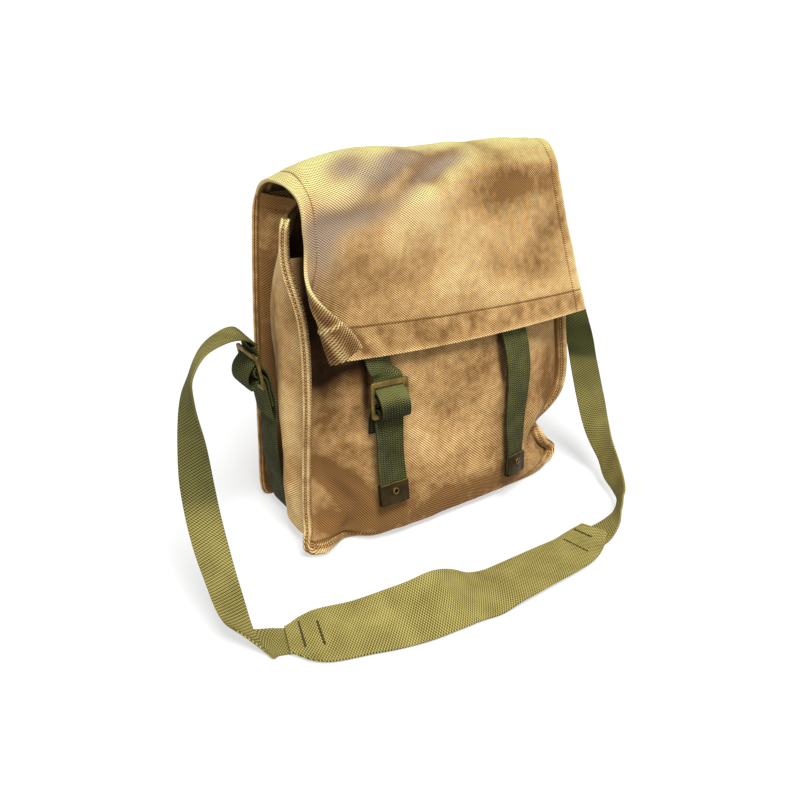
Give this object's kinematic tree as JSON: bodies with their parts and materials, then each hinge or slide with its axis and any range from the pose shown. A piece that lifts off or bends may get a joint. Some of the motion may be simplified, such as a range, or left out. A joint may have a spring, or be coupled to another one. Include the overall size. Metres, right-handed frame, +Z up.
{
  "type": "canvas shoulder bag",
  "caption": "Upright canvas shoulder bag with a wide flap, boxed sides, webbing closing straps with brass tips and a webbing shoulder strap with a wide pad, lying in front.",
  "frame": {"origin": "middle of the flat underside of the webbing that runs under the base, on the floor", "axes": "+X to the bag's right as seen from the front, front of the bag towards -Y, +Z up"},
  "size_m": [0.4119, 0.2371, 0.3007],
  "materials": {
    "canvas": "washed tan cotton canvas, mottled",
    "green_webbing": "dark green cotton webbing",
    "olive_webbing": "olive basket-weave cotton webbing",
    "brass": "aged brass, worn bright on the edges"
  },
  "bodies": {
    "root": {"front_panel": "canvas", "gusset": "canvas", "back_panel": "canvas", "front_seam": "canvas", "back_seam": "canvas", "flap": "canvas", "left_front_buckle": "brass", "left_side_buckle": "brass", "right_side_buckle": "brass", "left_closing_strap": "green_webbing", "right_closing_strap": "green_webbing", "left_buckle_tab": "green_webbing", "cradle_strap": "green_webbing", "left_shoulder_strap": "olive_webbing", "right_shoulder_strap": "olive_webbing", "shoulder_pad": "olive_webbing", "left_strap_tip": "brass", "right_strap_tip": "brass"}
  },
  "joints": []
}
